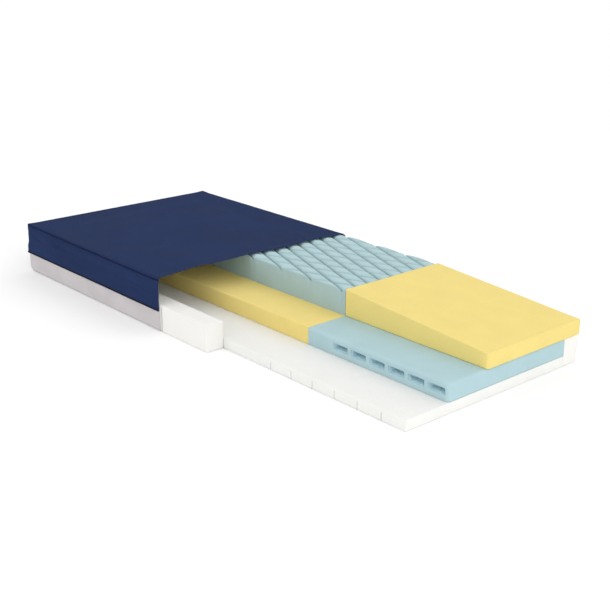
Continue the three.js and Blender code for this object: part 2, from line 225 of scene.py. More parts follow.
def cover_material(name, colour, thread, rough, gloss, spread=0.08):
    """Coated stretch knit: fine crossing threads, faint mottling, and a soft polish where it is handled."""
    n = Nodes(name)
    clouds = n.noise(240 * MM, 2.5, 0.55, (1.0, 0.7, 1.0))
    flecks = n.noise(5 * MM, 4.0, 0.6)
    threads = n.weave(thread)
    tone = n.math(
        "MULTIPLY", n.remap(threads, -2.0, 2.0, 0.92, 1.06), n.remap(flecks, 0.3, 0.7, 0.97, 1.03))
    n.set(Base_Color=n.scale(n.patchy(clouds, 0.32, 0.68, colour, (spread, spread)), tone))
    n.set(Roughness=n.remap(clouds, 0.3, 0.7, rough - 0.05, rough + 0.06))
    knit = n.bump(threads, 0.05 * thread)
    n.set(Normal=n.bump(n.noise(28 * MM, 3.0), 0.5 * MM, Normal=knit))
    n.set(Specular_IOR_Level=gloss)
    return n.material


def tape_material(name, colour, rib, rough):
    """Woven narrow tape with fine crossing ribs."""
    n = Nodes(name)
    ribs = n.weave(rib)
    flecks = n.noise(3 * MM, 3.0)
    tone = n.math(
        "MULTIPLY", n.remap(ribs, -2.0, 2.0, 0.8, 1.15), n.remap(flecks, 0.3, 0.7, 0.94, 1.06))
    n.set(Base_Color=n.scale(colour, tone))
    n.set(Roughness=n.remap(flecks, 0.3, 0.7, rough - 0.05, rough + 0.05))
    n.set(Normal=n.bump(ribs, 0.12 * rib), Specular_IOR_Level=0.05)
    return n.material


def metal_material(name, colour):
    """Brushed zinc with faint scuffs."""
    n = Nodes(name)
    brush = n.noise(1.2 * MM, 3.0, 0.6, (1.0, 1.0, 0.08))
    scuffs = n.noise(4 * MM, 4.0, 0.7)
    n.set(Base_Color=n.patchy(scuffs, 0.35, 0.65, colour, (0.15, 0.1)), Metallic=1.0)
    n.set(Roughness=n.remap(brush, 0.3, 0.7, 0.24, 0.42), Normal=n.bump(brush, 0.02 * MM))
    return n.material


WHITE = foam_material("base white foam", linear(234, 234, 231), 1.5 * MM, 0.012)
BOLSTER = foam_material("bolster white foam", linear(237, 236, 232), 1.3 * MM, 0.012)
YELLOW = foam_material("yellow viscoelastic foam", linear(234, 213, 132), 1.1 * MM, 0.02)
BLUE = foam_material("blue heel foam", linear(173, 201, 207), 1.2 * MM, 0.025)
# painted light: a lighter blue for the channels' inner walls, standing in for light scattered through the
# foam
BLUE_WITH_PAINTED_LIGHT = foam_material("blue heel foam, channel walls with painted light", linear(216, 244, 252), 1.2 * MM, 0.02)
# painted shade: given its top, this foam is darker in its grooves and down its cut sides
PALE_BLUE = foam_material(
    "blue torso foam", linear(174, 200, 204), 1.2 * MM, 0.03, top=hi("top_torso_foam").z)
NAVY = cover_material("navy coated knit", linear(37, 51, 87), 1.3 * MM, 0.7, 0.02)
BACKING = cover_material("navy knit backing", linear(205, 209, 216), 1.3 * MM, 0.8, 0.03)
TAUPE = cover_material("taupe coated knit", linear(200, 195, 196), 1.6 * MM, 0.65, 0.1, 0.015)
SOCK = cover_material("pale barrier knit", linear(232, 231, 228), 2.2 * MM, 0.85, 0.05, 0.02)
# the seam cord's own navy, made darker than the panel as painted shade of the seam's groove
SEAM_WITH_PAINTED_SHADE = tape_material("seam cord, darkened as painted shade", linear(21, 29, 60), 1.5 * MM, 0.8)
HEM_TAPE = tape_material("hem tape", linear(20, 24, 38), 1.4 * MM, 0.8)
ZIP_TAPE = tape_material("zip tape", linear(27, 32, 48), 1.0 * MM, 0.8)
COIL = tape_material("zip coil nylon", linear(22, 25, 33), 1.6 * MM, 0.4)
METAL = metal_material("zinc", linear(158, 160, 165))


# ---- meshes ----
def mesh_object(name, points, faces, material):
    mesh = bpy.data.meshes.new(name)
    mesh.from_pydata([tuple(p) for p in points], [], faces)
    mesh.validate()
    made = bpy.data.objects.new(name, mesh)
    bpy.context.scene.collection.objects.link(made)
    made.data.materials.append(material)
    return made


def tidy_normals(made):
    bm = bmesh.new()
    bm.from_mesh(made.data)
    bmesh.ops.recalc_face_normals(bm, faces=bm.faces)
    bm.to_mesh(made.data)
    bm.free()


def tube(name, rings, material, sharp=35):
    """A closed piece through rings of points, with a face on each end."""
    size = len(rings[0])
    faces = [list(range(size))[::-1], [(len(rings) - 1) * size + j for j in range(size)]]
    for i in range(len(rings) - 1):
        for j in range(size):
            k = (j + 1) % size
            faces.append([i * size + j, i * size + k, (i + 1) * size + k, (i + 1) * size + j])
    made = mesh_object(name, [p for points in rings for p in points], faces, material)
    tidy_normals(made)
    shade_smooth(made, sharp)
    return made


def grid_faces(rows, columns):
    """The faces of a sheet whose points are numbered row after row."""
    return [
        (i * columns + j, (i + 1) * columns + j, (i + 1) * columns + j + 1, i * columns + j + 1)
        for i in range(rows - 1) for j in range(columns - 1)]


def shade_smooth(made, sharp=35):
    """Smooth faces, with edges of more than this many degrees kept sharp."""
    mesh = made.data
    mesh.polygons.foreach_set("use_smooth", [True] * len(mesh.polygons))
    mesh.set_sharp_from_angle(angle=math.radians(sharp))


def apply_modifiers(made):
    graph = bpy.context.evaluated_depsgraph_get()
    mesh = bpy.data.meshes.new_from_object(made.evaluated_get(graph))
    old = made.data
    made.modifiers.clear()
    made.data = mesh
    bpy.data.meshes.remove(old)
    mesh.name = made.name


def push_out(made, distance):
    """Moves every point along its normal, by the distance that a function gives for the point."""
    normals = [v.normal.copy() for v in made.data.vertices]
    for vertex, normal in zip(made.data.vertices, normals):
        vertex.co += normal * distance(vertex.co)


def uneven(made, amount, wave, seed):
    """Moves the surface in and out a little, as soft cut foam never lies dead flat."""
    push_out(made, lambda p: amount * (wander(p, wave, seed) + 0.4 * wander(p, wave / 3, seed + 5)))


def declare(made, node):
    """Puts a piece on the mattress's body, and hides the CAD node that it stands for."""
    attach(made, "mattress")
    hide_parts(node)
    return made


# ---- foam blocks: rounded rectangles in (y, z) that follow one another along X ----
HOLD = 3 * MM                      # rows this far inside a face's ends keep its shading flat
ARC_STEPS = 3


def spaced(a, b, step):
    """Places from a to b about a step apart, with one close to each end."""
    if b - a < 3 * HOLD:
        return [a, b]
    count = max(1, round((b - a - 2 * HOLD) / step))
    inner = [lerp(a + HOLD, b - HOLD, i / count) for i in range(count + 1)]
    return [a, *inner, b]


def ring_plan(width, height, radius, step):
    """How a ring's points are spread: shares along the two straight sides, equal for every ring."""
    along_y = [p / (width - 2 * radius) for p in spaced(0, width - 2 * radius, step)]
    along_z = [p / (height - 2 * radius) for p in spaced(0, height - 2 * radius, step)]
    return along_y, along_z


def ring(x, y0, y1, z0, z1, radius, plan):
    """Points round a rounded rectangle, anticlockwise as seen from the foot end."""
    along_y, along_z = plan
    r = max(radius, 0.02 * MM)
    points = []

    def arc(cy, cz, start):
        for a in quarter(ARC_STEPS)[1:-1]:
            points.append((x, cy + r * math.cos(start + a), cz + r * math.sin(start + a)))

    points += [(x, lerp(y0 + r, y1 - r, s), z0) for s in along_y]
    arc(y1 - r, z0 + r, -math.pi / 2)
    points += [(x, y1, lerp(z0 + r, z1 - r, s)) for s in along_z]
    arc(y1 - r, z1 - r, 0)
    points += [(x, lerp(y1 - r, y0 + r, s), z1) for s in along_y]
    arc(y0 + r, z1 - r, math.pi / 2)
    points += [(x, y0, lerp(z1 - r, z0 + r, s)) for s in along_z]
    arc(y0 + r, z0 + r, math.pi)
    return points


def block_along_x(name, section, x_places, radius, material, step=24 * MM):
    """A block with rounded edges. Each place is (x, mark), and section(x, mark) gives y0, y1, z0, z1:
    two places with one x and unlike marks make a step."""
    x_first, x_last = x_places[0][0], x_places[-1][0]
    _, _, z0, z1 = section(*x_places[0])
    widest = max(section(*p)[1] - section(*p)[0] for p in x_places)
    plan = ring_plan(widest, z1 - z0, radius, step)
    rows = []
    rounding = [
        (radius * (1 - math.cos(a)), radius * (1 - math.sin(a))) for a in quarter(ARC_STEPS)[:-1]]

    def add(x, place, inset):
        a, b, c, d = section(*place)
        rows.append(ring(x, a + inset, b - inset, c + inset, d - inset, radius - inset, plan))

    for run, inset in rounding:
        add(x_first + run, x_places[0], inset)
    for place in x_places[1:-1]:
        add(place[0], place, 0)
    for run, inset in reversed(rounding):
        add(x_last - run, x_places[-1], inset)
    return tube(name, rows, material)


def places(x0, x1, radius, step=26 * MM):
    """Even x places for a block, clear of its rounded ends."""
    inner = spaced(x0 + radius, x1 - radius, step)
    return [(x0, 0), *[(x, 0) for x in inner], (x1, 0)]


def round_inset(depth, radius):
    """How far a rounded edge of a radius stands back, at a depth behind the face."""
    behind = min(max(radius - depth, 0.0), radius)
    return radius - math.sqrt(radius ** 2 - behind ** 2)


HEAD_ROUND = 22 * MM               # the core's lower edge at the head end, inside the tub's
COVERED_TO = hi("barrier_sock").x  # up to here the core lies on the tub and the sock
COVER_LIFT = 2.6 * MM              # and its underside is this much higher


def head_places(a, b, radius):
    """Even places along X, with more of them over the rounded lower edge at the head end."""
    curve = [(a.x + share * HEAD_ROUND, 0) for share in (0.2, 0.32, 0.46, 0.64, 0.82, 1.0)]
    rest = [p for p in places(a.x, b.x, radius) if p[0] <= a.x + radius or p[0] > a.x + HEAD_ROUND + HOLD]
    return sorted(rest + curve)


def underside(x, a):
    """Height of the core's underside at a place along X: it is raised where the cover is under it."""
    lift = COVER_LIFT if x < COVERED_TO else 0.0
    return a.z + lift + round_inset(x - a.x, HEAD_ROUND)


SLIT = {"first": 1513 * MM, "pitch": 103.7 * MM, "count": 6, "width": 2.6 * MM, "depth": 27 * MM}


def base_foam():
    a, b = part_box("base_foam")
    radius = 2.5 * MM
    x_list = head_places(a, b, radius)
    slits = []
    for i in range(SLIT["count"]):
        x = HEAD + SLIT["first"] + i * SLIT["pitch"]
        half, soft = SLIT["width"] / 2, 1.6 * MM
        x_list = [p for p in x_list if abs(p[0] - x) > 8 * MM]
        slits += [
            (x - half - soft - HOLD, 0), (x - half - soft, 0), (x - half - 0.4 * soft, 0.3 * soft),
            (x - half, soft), (x - half * 0.9, SLIT["depth"]), (x + half * 0.9, SLIT["depth"]),
            (x + half, soft), (x + half + 0.4 * soft, 0.3 * soft), (x + half + soft, 0),
            (x + half + soft + HOLD, 0)]
    x_list = sorted(x_list + slits)

    def section(x, raised):
        return a.y, b.y, underside(x, a) + raised, b.z

    made = block_along_x("base_foam_soft", section, x_list, radius, WHITE)
    return declare(made, "base_foam")


def bolster(node, seed):
    a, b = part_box(node)
    radius = 3 * MM

    def section(x, _):
        return a.y, b.y, underside(x, a), b.z

    made = block_along_x(node + "_soft", section, head_places(a, b, radius), radius, BOLSTER, 18 * MM)
    uneven(made, 0.35 * MM, 120 * MM, seed)
    lowest = a.z + 0.1 * MM        # above the surface that the mattress lies on
    for vertex in made.data.vertices:
        vertex.co.z = max(vertex.co.z, lowest)
    return declare(made, node)


CUT_BACK = 500 * MM                # the torso foams are full width up to here, under the cover
MID_CUT_Y = lo("mid_heel_foam").y
TOP_CUT_Y = lo("top_heel_foam").y


def mid_torso_foam():
    a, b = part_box("mid_torso_foam")
    radius = 2.5 * MM
    step_x = HEAD + CUT_BACK
    x_list = [p for p in places(a.x, b.x, radius) if abs(p[0] - step_x) > HOLD]
    x_list = sorted(x_list + [(step_x, 0), (step_x, 1)])

    def section(x, beyond):
        narrow = x > step_x or beyond
        return (MID_CUT_Y if narrow else a.y), b.y, a.z, b.z

    made = block_along_x("mid_torso_foam_soft", section, x_list, radius, YELLOW)
    uneven(made, 0.3 * MM, 160 * MM, 3)
    return declare(made, "mid_torso_foam")


def top_heel_foam():
    a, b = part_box("top_heel_foam")
    radius = 3 * MM
    end_top = 156 * MM
    end_x = b.x + 6 * MM           # this slab is cut a little longer than the ones below it

    def section(x, _):
        return a.y, b.y, a.z, lerp(b.z, end_top, (x - a.x) / (end_x - a.x))

    made = block_along_x("top_heel_foam_soft", section, places(a.x, end_x, radius), radius, YELLOW)
    round_corner(made, end_x, a.y, 12 * MM)
    uneven(made, 0.4 * MM, 180 * MM, 4)
    return declare(made, "top_heel_foam")


# ---- the heel foam with channels: loops in (x, z) carried along Y ----
CHANNEL = {
    "first": 1619 * MM, "pitch": 86 * MM, "count": 6, "width": 69 * MM,
    "low": 59 * MM, "high": 80.5 * MM, "round": 4 * MM,
}


def rounded_loop(x0, x1, z0, z1, radii, step):
    """A closed outline with its own radius at each corner, from the lower left, anticlockwise."""
    r = radii
    centres = [
        (x0 + r[0], z0 + r[0]), (x1 - r[1], z0 + r[1]), (x1 - r[2], z1 - r[2]), (x0 + r[3], z1 - r[3])]
    arcs = []
    for corner, centre in enumerate(centres):
        angles = [(corner + 2) * math.pi / 2 + a for a in quarter(4)]
        arcs.append([
            Vector(centre) + r[corner] * Vector((math.cos(a), math.sin(a))) for a in angles])
    points = []
    for arc, following in zip(arcs, arcs[1:] + arcs[:1]):
        run = (following[0] - arc[-1]).length
        points += arc
        points += [arc[-1].lerp(following[0], p / run) for p in spaced(0, run, step)[1:-1]]
    return points


def offset_loop(loop, distance):
    """The loop moved towards its left-hand side, which is the inside of an anticlockwise one."""
    moved = []
    for i, p in enumerate(loop):
        before, after = (p - loop[i - 1]).normalized(), (loop[(i + 1) % len(loop)] - p).normalized()
        left_a, left_b = Vector((-before.y, before.x)), Vector((-after.y, after.x))
        moved.append(p + distance * (left_a + left_b) / (1 + left_a.dot(left_b)))
    return moved


def cut(bm, point, normal, close, clear=False):
    """Cuts a mesh with a plane, through the points that are this close to it, and can clear away what
    is on the side that the normal points to."""
    bmesh.ops.bisect_plane(
        bm, geom=[*bm.verts, *bm.edges, *bm.faces], dist=close, plane_co=point, plane_no=normal,
        clear_outer=clear)


def round_corner(made, x_end, y_near, radius):
    """Rounds a piece's vertical corner at the foot end of its near side."""
    bm = bmesh.new()
    bm.from_mesh(made.data)
    close = 0.01 * MM
    for share in (0.15, 0.4, 0.7, 1.0):
        cut(bm, (x_end - share * radius, 0, 0), (1, 0, 0), close)
        cut(bm, (0, y_near + share * radius, 0), (0, 1, 0), close)
    for v in bm.verts:
        u, w = v.co.x - (x_end - radius), (y_near + radius) - v.co.y
        if u > 0 and w > 0:
            shrink = max(u, w) / math.hypot(u, w)
            v.co.x, v.co.y = x_end - radius + u * shrink, y_near + radius - w * shrink
    bm.to_mesh(made.data)
    bm.free()
    shade_smooth(made)


def mid_heel_foam():
    a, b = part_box("mid_heel_foam")
    top_soft, low_soft, lip = 12 * MM, 2 * MM, 3.5 * MM
    outer = rounded_loop(a.x, b.x, a.z, b.z, (1.5 * MM, 4 * MM, 9 * MM, 1.5 * MM), 24 * MM)
    holes = []
    for i in range(CHANNEL["count"]):
        x = HEAD + CHANNEL["first"] + i * CHANNEL["pitch"]
        holes.append(rounded_loop(
            x, x + CHANNEL["width"], CHANNEL["low"], CHANNEL["high"], (CHANNEL["round"],) * 4, 22 * MM))

    def level(y):
        """The outlines at a place along Y, set back near the two cut faces."""
        depth = min(y - a.y, b.y - y)
        low, high = round_inset(depth, low_soft), round_inset(depth, top_soft if y < 0 else lip)
        shell = []
        for p in outer:
            share = smooth((p.y - a.z) / (b.z - a.z))
            shell.append(Vector((p.x, lerp(p.y + low, p.y - high, share))))
        return [shell] + [offset_loop(hole, -round_inset(depth, lip)) for hole in holes]

    depths = [top_soft * (1 - math.cos(a)) for a in quarter(7)]
    middle = spaced(a.y + top_soft, b.y - top_soft, 28 * MM)[1:-1]
    levels = [a.y + d for d in depths] + middle + [b.y - d for d in reversed(depths)]
    bm = bmesh.new()
    rings = [[[bm.verts.new((p.x, y, p.y)) for p in loop] for loop in level(y)] for y in levels]
    for y, first, second in zip(levels, rings, rings[1:]):
        behind_lip_painted_light = a.y + lip < y < b.y - 2 * lip    # where a channel's walls get painted light: a lighter blue standing in for light scattered into the channel
        for number, (ring_a, ring_b) in enumerate(zip(first, second)):
            for i in range(len(ring_a)):
                k = (i + 1) % len(ring_a)
                wall = bm.faces.new((ring_a[i], ring_a[k], ring_b[k], ring_b[i]))
                wall.material_index = int(number > 0 and behind_lip_painted_light)
    for cap in (rings[0], rings[-1]):
        edges = [bm.edges.get((loop[i], loop[(i + 1) % len(loop)])) for loop in cap for i in range(len(loop))]
        bmesh.ops.triangle_fill(bm, use_beauty=True, edges=edges)
    bmesh.ops.recalc_face_normals(bm, faces=bm.faces)
    made = mesh_object("mid_heel_foam_soft", [], [], BLUE)
    made.data.materials.append(BLUE_WITH_PAINTED_LIGHT)
    bm.to_mesh(made.data)
    bm.free()
    round_corner(made, b.x, a.y, 16 * MM)
    return declare(made, "mid_heel_foam")


# ---- the castellated torso foam ----
GRID = {
    "x": 983 * MM, "pitch_x": 165 * MM, "pitch_y": 60 * MM, "half": 1.6 * MM, "depth": 16 * MM,
    "round": 9 * MM, "swell": 5 * MM, "lean": 1.2 * MM, "edge_min": 2 * MM, "edge_max": 9 * MM,
}
SLOPE = math.atan2(GRID["pitch_y"], GRID["pitch_x"])  # of the grooves, to the X axis
PERIOD = GRID["pitch_y"] * math.cos(SLOPE)            # between grooves, square to them


def lattice(x, y):
    """Distances of a point across the two families of grooves."""
    from_x, from_y = (x - HEAD - GRID["x"]) * math.sin(SLOPE), (y - TOP_CUT_Y) * math.cos(SLOPE)
    return from_y - from_x, from_y + from_x


def castellated_height(x, y, top, sides):
    """Height of the foam at a point: diamond cells with rounded shoulders, cut apart by grooves."""
    across = lattice(x, y)
    cell = tuple(math.floor(c / PERIOD) for c in across)
    away = [abs(c - PERIOD * round(c / PERIOD)) for c in across]
    if min(away) <= GRID["half"]:
        return top - GRID["depth"]
    middle = smooth(min(away) / (0.4 * PERIOD))
    groove = round_inset(min(away) - GRID["half"], GRID["round"])
    edge_round = lerp(GRID["edge_min"], GRID["edge_max"], middle)
    edge = round_inset(min(sides(x, y)), edge_round)
    lean = GRID["lean"] * noise.noise(Vector((cell[0] * 3.1, cell[1] * 2.3, 0.5)))
    return top - GRID["swell"] * (1 - middle) + lean - math.hypot(groove, edge)


def lattice_mesh(a, b):
    """A flat mesh over a box whose edges follow both families of grooves, closer beside a groove."""
    half, soft = GRID["half"], GRID["round"]
    beside = [0.0, half, half + 0.05 * MM, half + 0.15 * soft, half + 0.4 * soft, half + soft, 0.36 * PERIOD]
    offsets = {round(s, 7) for p in beside for s in (p, PERIOD - p)} | {round(PERIOD / 2, 7)}
    offsets = sorted(o for o in offsets if o < PERIOD - 1e-6)
    corners = [lattice(x, y) for x in (a.x, b.x) for y in (a.y, b.y)]
    lines = []
    for axis in (0, 1):
        low = math.floor(min(c[axis] for c in corners) / PERIOD)
        high = math.ceil(max(c[axis] for c in corners) / PERIOD)
        lines.append([k * PERIOD + o for k in range(low, high) for o in offsets] + [high * PERIOD])
    p, q = np.meshgrid(*lines, indexing="ij")
    x = HEAD + GRID["x"] + (q - p) / (2 * math.sin(SLOPE))
    y = TOP_CUT_Y + (p + q) / (2 * math.cos(SLOPE))
    margin = 20 * MM
    inside = (x > a.x - margin) & (x < b.x + margin) & (y > a.y - margin) & (y < b.y + margin)
    inside &= (x < HEAD + CUT_BACK + margin) | (y > TOP_CUT_Y - margin)
    keep = inside[:-1, :-1] | inside[1:, :-1] | inside[:-1, 1:] | inside[1:, 1:]
    index = np.arange(x.size).reshape(x.shape)
    quads = np.stack([index[:-1, :-1], index[1:, :-1], index[1:, 1:], index[:-1, 1:]], axis=-1)[keep]
    used, renumbered = np.unique(quads, return_inverse=True)
    flat = np.stack([x.ravel(), y.ravel(), np.zeros(x.size)], axis=-1)[used]
    return flat.tolist(), renumbered.reshape(-1, 4).tolist()


def top_torso_foam():
    a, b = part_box("top_torso_foam")
    made = mesh_object("top_torso_foam_soft", *lattice_mesh(a, b), PALE_BLUE)
    bm = bmesh.new()
    bm.from_mesh(made.data)
    close = 0.001 * MM
    for point, normal in (
            ((a.x, 0, 0), (-1, 0, 0)), ((b.x, 0, 0), (1, 0, 0)),
            ((0, a.y, 0), (0, -1, 0)), ((0, b.y, 0), (0, 1, 0))):
        cut(bm, point, normal, close, clear=True)
    step_x = HEAD + CUT_BACK
    cut(bm, (step_x, 0, 0), (1, 0, 0), close)
    cut(bm, (0, TOP_CUT_Y, 0), (0, -1, 0), close)
    centres = [(f, f.calc_center_median()) for f in bm.faces]
    gone = [f for f, centre in centres if centre.x > step_x and centre.y < TOP_CUT_Y]
    bmesh.ops.delete(bm, geom=gone, context="FACES")
    for share in (0.05, 0.2, 0.45, 0.75, 1.0):
        cut(bm, (0, TOP_CUT_Y + share * GRID["edge_max"], 0), (0, -1, 0), close)
        cut(bm, (0, b.y - share * GRID["edge_max"], 0), (0, 1, 0), close)

    def sides(px, py):
        near = TOP_CUT_Y if px > step_x else a.y
        return py - near, b.y - py

    for v in bm.verts:
        v.co.z = castellated_height(v.co.x, v.co.y, b.z, sides)
    rim = [e for e in bm.edges if e.is_boundary]
    walls = bmesh.ops.extrude_edge_only(bm, edges=rim)["geom"]
    low = [g for g in walls if isinstance(g, bmesh.types.BMVert)]
    for v in low:
        v.co.z = a.z
    low_edges = [g for g in walls if isinstance(g, bmesh.types.BMEdge)]
    bmesh.ops.holes_fill(bm, edges=low_edges, sides=0)
    bmesh.ops.recalc_face_normals(bm, faces=bm.faces)
    bm.to_mesh(made.data)
    bm.free()
    shade_smooth(made, 50)
    return declare(made, "top_torso_foam")


# ---- the cover ----
ARC = EDGE_ROUND * math.pi / 2     # length of the rounded top edge
HEM_RUN = ARC + TOP_EDGE - EDGE_ROUND - HEM
SEAM_HEAD = 7 * MM                 # the top seam's place on the rounded edge at the head end
SEAM_CUT = 12.7 * MM               # and at the cut, a little lower


def seam_run(x):
    """Where the top seam lies, as a distance round the top edge from the flat top."""
    return lerp(SEAM_HEAD, SEAM_CUT, max(0.0, (x - HEAD) / (BORDER_CUT - HEAD)))


def edge_point(run):
    """(distance out from the side face, height) at a distance round the top edge, before any flare."""
    if run <= 0:
        return run - EDGE_ROUND, TOP_EDGE
    if run < ARC:
        angle = run / EDGE_ROUND
        return EDGE_ROUND * (math.sin(angle) - 1), TOP_EDGE - EDGE_ROUND * (1 - math.cos(angle))
    return 0.0, TOP_EDGE - EDGE_ROUND - (run - ARC)


def flare(z, head):
    """How far the flap stands off at a height: head is 0 at the long sides and 1 at the head end."""
    return lerp(FLARE_SIDE, FLARE_HEAD, head) * smooth((FLARE_Z[0] - z) / (FLARE_Z[0] - FLARE_Z[1]))


CUT_WAVE = [                       # the cut edge, in mm: (from the near side, from the head)
    (0, 975), (110, 964), (200, 955), (290, 966), (440, 959), (585, 979), (750, 966), (914, 979)]


def top_cut_x(y):
    """The wavy edge where the top panel is cut off."""
    across = min(max((y + HALF_W) / MM, 0), CUT_WAVE[-1][0])
    for (a, start), (b, end) in zip(CUT_WAVE, CUT_WAVE[1:]):
        if across <= b:
            return HEAD + lerp(start, end, smooth((across - a) / (b - a))) * MM


def slack(point):
    """The cover's own soft unevenness, mostly outwards, and less of it near the cut edge."""
    broad = wander(point, 330 * MM, 1) * 0.9 + wander(point, 150 * MM, 2) * 0.5
    fine = wander(point, 60 * MM, 3) * 0.15
    loose = 1.0 - 0.7 * near_end(point.x, BORDER_CUT, 30 * MM)
    return (0.5 + broad + fine) * MM * loose


def crown(x, y):
    half = HALF_W - CROWN_START
    return CROWN * smooth((half - abs(y)) / CROWN_RUN) * smooth((x - HEAD - CROWN_START) / CROWN_RUN)


GRID_STEP = 11 * MM                # mesh size of the top panel
CLOSE = 30 * MM                    # and a stretch beside its seam where it is finer


def shares(length):
    """Shares of a length from 0 to 1, closer together over the last stretch."""
    wide = np.linspace(0, length - CLOSE, round((length - CLOSE) / GRID_STEP) + 1)
    fine = np.linspace(length - CLOSE, length, 12)[1:]
    return [float(p) / length for p in (*wide, *fine)]


def hang(x, y, out, head, run):
    """A border point: (x, y) on the side face, the way out, and a distance round the top edge."""
    d, z = edge_point(run)
    d += flare(z, head)
    return Vector((x + out[0] * d, y + out[1] * d, z))


def border_runs(start):
    """Distances round the top edge of a border's rows, from the seam to the hem, closer on the curve."""
    edge = 20 * MM
    return [start, *np.linspace(start, edge, 9)[1:], *np.linspace(edge, HEM_RUN, 12)[1:]]


def side_face(x, y):
    """The point of the side faces beside a place on the seam, the way out there, and how far round
    the corner it is, from 0 at a long side to 1 at the head end."""
    side = math.copysign(1, y)
    from_end, from_side = HEAD + PLAN_ROUND - x, abs(y) - (HALF_W - PLAN_ROUND)
    if from_end <= 0:
        return x, side * HALF_W, (0, side), 0.0
    if from_side <= 0:
        return HEAD, y, (-1, 0), 1.0
    angle = math.atan2(from_end, from_side)
    out = (-math.sin(angle), side * math.cos(angle))
    x = HEAD + PLAN_ROUND + PLAN_ROUND * out[0]
    return x, side * (HALF_W - PLAN_ROUND) + PLAN_ROUND * out[1], out, angle / (math.pi / 2)


def border_line(start):
    """The points of a border below one of the seam's points, down to the hem."""
    x, y, out, turn = side_face(start.x, start.y)
    near_cut = near_end(start.x, BORDER_CUT, 70 * MM)
    return [
        hang(lerp(x, BORDER_CUT, near_cut * smooth((k + 1) / 6)), y, out, turn, run)
        for k, run in enumerate(border_runs(seam_run(x))[1:])]


def panel_point(along, across):
    """A point of the top panel: along is 0 at the head seam and 1 at the cut, and across is -1 at the
    near seam and 1 at the far one."""
    half = HALF_W - EDGE_ROUND
    side = -1 if across < 0 else 1
    x = HEAD
    for _ in range(3):             # the seam's place depends on x, and the cut edge's on y
        out_y, z_y = edge_point(abs(across) * (half + seam_run(x)) - half)
        y = HALF_W + out_y
        out_x, z_x = edge_point(lerp(SEAM_HEAD, HEAD + EDGE_ROUND - top_cut_x(side * y), along))
        x = HEAD - out_x
    centre_x, centre_y = HEAD + PLAN_ROUND, HALF_W - PLAN_ROUND
    if x < centre_x and y > centre_y:
        shrink = max(centre_x - x, y - centre_y) / math.hypot(centre_x - x, y - centre_y)
        x, y = lerp(centre_x, x, shrink), lerp(centre_y, y, shrink)
    return Vector((x, side * y, min(z_x, z_y) + crown(x, y)))


PANEL, NEAR, HEAD_END, FAR = range(4)


def cover_mesh():
    """The whole cover as one sheet: the top panel's grid, and the borders' lines of points round it.

    Returns the object, whose face attribute "part" says which sewn piece a face is in, and the
    indices of the points along the seam and along the hem."""
    half_shares = shares(HALF_W - EDGE_ROUND)
    columns = [-s for s in reversed(half_shares)] + half_shares[1:]
    rows = [1 - s for s in reversed(shares(BORDER_CUT - HEAD))]
    width = len(columns)
    points = [panel_point(along, across) for along in rows for across in columns]
    faces = grid_faces(len(rows), width)
    parts = [PANEL] * len(faces)
    near_side = [(i * width, NEAR) for i in reversed(range(1, len(rows)))]
    head_end = [(j, HEAD_END) for j in range(width - 1)]
    far_side = [(i * width + width - 1, FAR) for i in range(len(rows))]
    strips = []
    for start, part in near_side + head_end + far_side:
        below = border_line(points[start])
        strips.append(([start, *range(len(points), len(points) + len(below))], part))
        points += below
    for (first, part), (second, _) in zip(strips, strips[1:]):
        for k in range(len(first) - 1):
            faces.append((first[k], first[k + 1], second[k + 1], second[k]))
            parts.append(part)
    made = mesh_object("cover", points, faces, NAVY)
    attribute = made.data.attributes.new("part", "INT", "FACE")
    attribute.data.foreach_set("value", parts)
    tidy_normals(made)
    if made.data.polygons[0].normal.z < 0:
        made.data.flip_normals()
    return made, [line[0] for line, _ in strips], [line[-1] for line, _ in strips]


def core_proxy():
    """A block in the place of the sock and the foams, for the cloth to settle on."""
    inset, radius, step = 3.2 * MM, 7 * MM, 40 * MM
    section = (-HALF_W + inset, HALF_W - inset, HEM, TOP_EDGE - 2 * MM)
    x_list = places(HEAD + inset, SOCK_CUT + 60 * MM, radius, step)
    core = block_along_x("core_proxy", lambda *_: section, x_list, radius, NAVY, step)
    core.modifiers.new("collision", "COLLISION")
    core.collision.thickness_outer = 0.4 * MM
    core.collision.cloth_friction = 20
    return core


SETTLE_FRAMES = 22
SETTLE_LIMIT = 4 * MM              # no point moves further than this
SETTLE_FIRM = 0.85                 # how much of the move the corners and the cut edge don't make


def settle(made):
    """Drops the sheet onto the core by cloth simulation, with a little spare length, so that it creases
    as fabric does. The flap is held."""
    core = core_proxy()
    held = made.vertex_groups.new(name="held")
    fade = 25 * MM
    for vertex in made.data.vertices:
        held.add([vertex.index], smooth((FLARE_Z[0] + fade - vertex.co.z) / fade), "REPLACE")
    fabric = made.modifiers.new("cloth", "CLOTH")
    fabric.settings.vertex_group_mass = "held"
    fabric.settings.quality = 6
    fabric.settings.mass = 0.15
    fabric.settings.tension_stiffness = fabric.settings.compression_stiffness = 40
    fabric.settings.shear_stiffness = 12
    fabric.settings.bending_stiffness = 4
    fabric.settings.shrink_min = -0.004
    fabric.collision_settings.distance_min = 0.5 * MM
    fabric.collision_settings.use_self_collision = False
    fabric.point_cache.frame_end = SETTLE_FRAMES
    for number in range(1, SETTLE_FRAMES + 1):
        bpy.context.scene.frame_set(number)
    graph = bpy.context.evaluated_depsgraph_get()
    settled = [v.co.copy() for v in made.evaluated_get(graph).data.vertices]
    for vertex, place in zip(made.data.vertices, settled):
        move = place - vertex.co
        if move.length > SETTLE_LIMIT:
            move *= SETTLE_LIMIT / move.length
        from_head, from_side = vertex.co.x - HEAD, HALF_W - abs(vertex.co.y)
        corner = smooth(1 - math.hypot(from_head, from_side) / (60 * MM))
        cut_edge = near_end(vertex.co.x, BORDER_CUT, 40 * MM)
        vertex.co += move * (1 - SETTLE_FIRM * max(corner, cut_edge))
    made.modifiers.clear()
    made.vertex_groups.clear()
    bpy.data.objects.remove(core)
    bpy.context.scene.frame_set(1)


